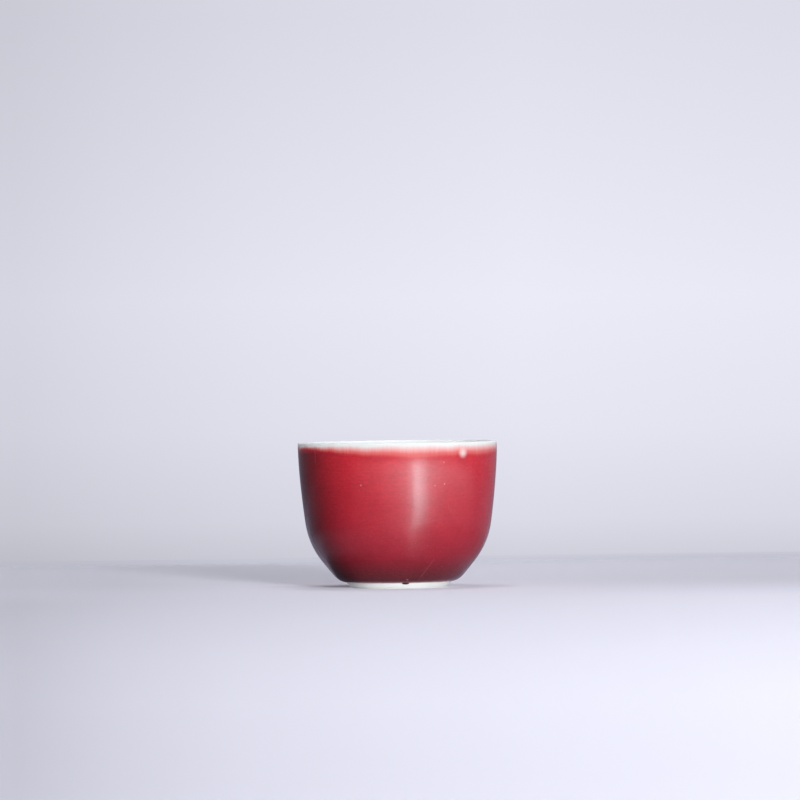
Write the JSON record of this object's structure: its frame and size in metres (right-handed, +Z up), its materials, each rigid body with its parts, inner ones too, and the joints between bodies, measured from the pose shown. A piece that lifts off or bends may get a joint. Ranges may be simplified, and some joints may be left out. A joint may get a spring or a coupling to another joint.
{
  "type": "tea cup",
  "caption": "Small handleless porcelain tea cup: deep rounded bowl, copper-red outside, white lip and lining, on a tapered foot ring.",
  "frame": {"origin": "centre of the foot ring, on the plane that the cup stands on", "axes": "+Z up along the cup's axis, towards the mouth; X and Y level, with -Y towards the side that the picture shows"},
  "size_m": [0.065, 0.065, 0.0475],
  "materials": {
    "porcelain": "bare fired porcelain, fine and matt",
    "copper_red_glaze": "glossy copper-red glaze, paler and streaked at the lip, darker towards the heel",
    "clear_glaze": "glossy clear glaze over white porcelain, faintly blue"
  },
  "bodies": {
    "root": {"bowl_body": "porcelain", "foot_ring": "porcelain", "outer_glaze": "copper_red_glaze", "lip_glaze": "clear_glaze", "inner_glaze": "clear_glaze", "foot_glaze": "clear_glaze", "base_glaze": "clear_glaze"}
  },
  "joints": []
}
